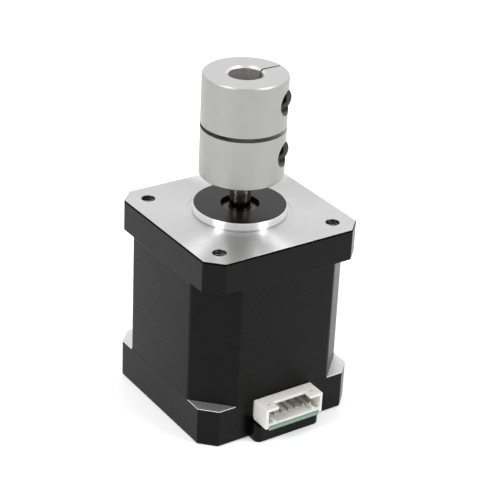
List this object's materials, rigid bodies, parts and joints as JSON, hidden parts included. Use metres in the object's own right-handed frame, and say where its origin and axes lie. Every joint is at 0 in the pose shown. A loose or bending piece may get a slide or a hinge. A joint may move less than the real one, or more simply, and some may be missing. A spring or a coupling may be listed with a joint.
{
  "type": "stepper motor",
  "caption": "Square hybrid stepper motor with a split clamp coupling on its shaft, ready to take a lead screw, and a side connector at the rear.",
  "frame": {"origin": "on the shaft axis in the plane of the front mounting face", "axes": "+Z along the shaft out of the motor, connector on the -Y side"},
  "size_m": [0.042, 0.0475, 0.0824],
  "materials": {
    "front_cover": "machined bright face and boss wall, black painted sides and boss top",
    "rear_cover": "black painted casting with bare machined rim",
    "lamination_black": "black painted steel stack with fine horizontal lines",
    "bobbin_nylon": "moulded glass-filled nylon",
    "tinned_terminal": "tin plated",
    "enamelled_copper": "enamelled copper wire",
    "screw_steel": "zinc plated",
    "spring_steel": "hardened spring steel",
    "board_green": "green solder mask on glass laminate",
    "connector_white": "translucent white nylon",
    "tinned_pin": "tin plated brass",
    "solder": "bright solder",
    "shaft_steel": "ground steel",
    "rotor_steel": "ground silicon steel",
    "magnet_grey": "sintered magnet, ground faces",
    "spacer_brass": "turned brass",
    "coupling_aluminium": "fine bead-blasted aluminium",
    "black_oxide": "black oxide",
    "bearing_steel": "ground bearing steel",
    "ball_steel": "polished bearing steel",
    "cage_nylon": "moulded nylon",
    "shield_steel": "pressed steel sheet"
  },
  "bodies": {
    "motor_frame": {"front_end_bell": "front_cover", "rear_end_bell": "rear_cover", "stator_core": "lamination_black", "front_bobbin": "bobbin_nylon", "rear_bobbin": "bobbin_nylon", "winding_terminals": "tinned_terminal", "phase_a_coils": "enamelled_copper", "phase_b_coils": "enamelled_copper", "through_screws": "screw_steel", "wave_washer": "spring_steel", "front_bearing_outer_ring": "bearing_steel", "front_bearing_shields": "shield_steel", "rear_bearing_outer_ring": "bearing_steel", "rear_bearing_shields": "shield_steel", "circuit_board": "board_green", "connector_housing": "connector_white", "connector_pins": "tinned_pin", "solder_joints": "solder"},
    "rotor": {"shaft": "shaft_steel", "front_rotor_cup": "rotor_steel", "rear_rotor_cup": "rotor_steel", "rotor_magnet": "magnet_grey", "front_spacer": "spacer_brass", "rear_spacer": "spacer_brass", "front_bearing_inner_ring": "bearing_steel", "rear_bearing_inner_ring": "bearing_steel", "coupling_body": "coupling_aluminium", "upper_clamp_screw": "black_oxide", "lower_clamp_screw": "black_oxide"},
    "front_ball_set": {"front_bearing_cage": "cage_nylon", "front_bearing_balls": "ball_steel"},
    "rear_ball_set": {"rear_bearing_cage": "cage_nylon", "rear_bearing_balls": "ball_steel"}
  },
  "joints": [
    {"name": "shaft_spin", "type": "hinge", "parent": "motor_frame", "child": "rotor", "pos_m": [0, 0, 0], "axis": [0, 0, 1], "continuous": true},
    {"name": "front_ball_set_spin", "type": "hinge", "parent": "motor_frame", "child": "front_ball_set", "pos_m": [0, 0, -0.0015], "axis": [0, 0, 1], "continuous": true},
    {"name": "rear_ball_set_spin", "type": "hinge", "parent": "motor_frame", "child": "rear_ball_set", "pos_m": [0, 0, -0.0435], "axis": [0, 0, 1], "continuous": true}
  ],
  "couplings": [
    {"joint": "front_ball_set_spin", "follows": "shaft_spin", "ratio": 0.36771},
    {"joint": "rear_ball_set_spin", "follows": "shaft_spin", "ratio": 0.36771}
  ]
}
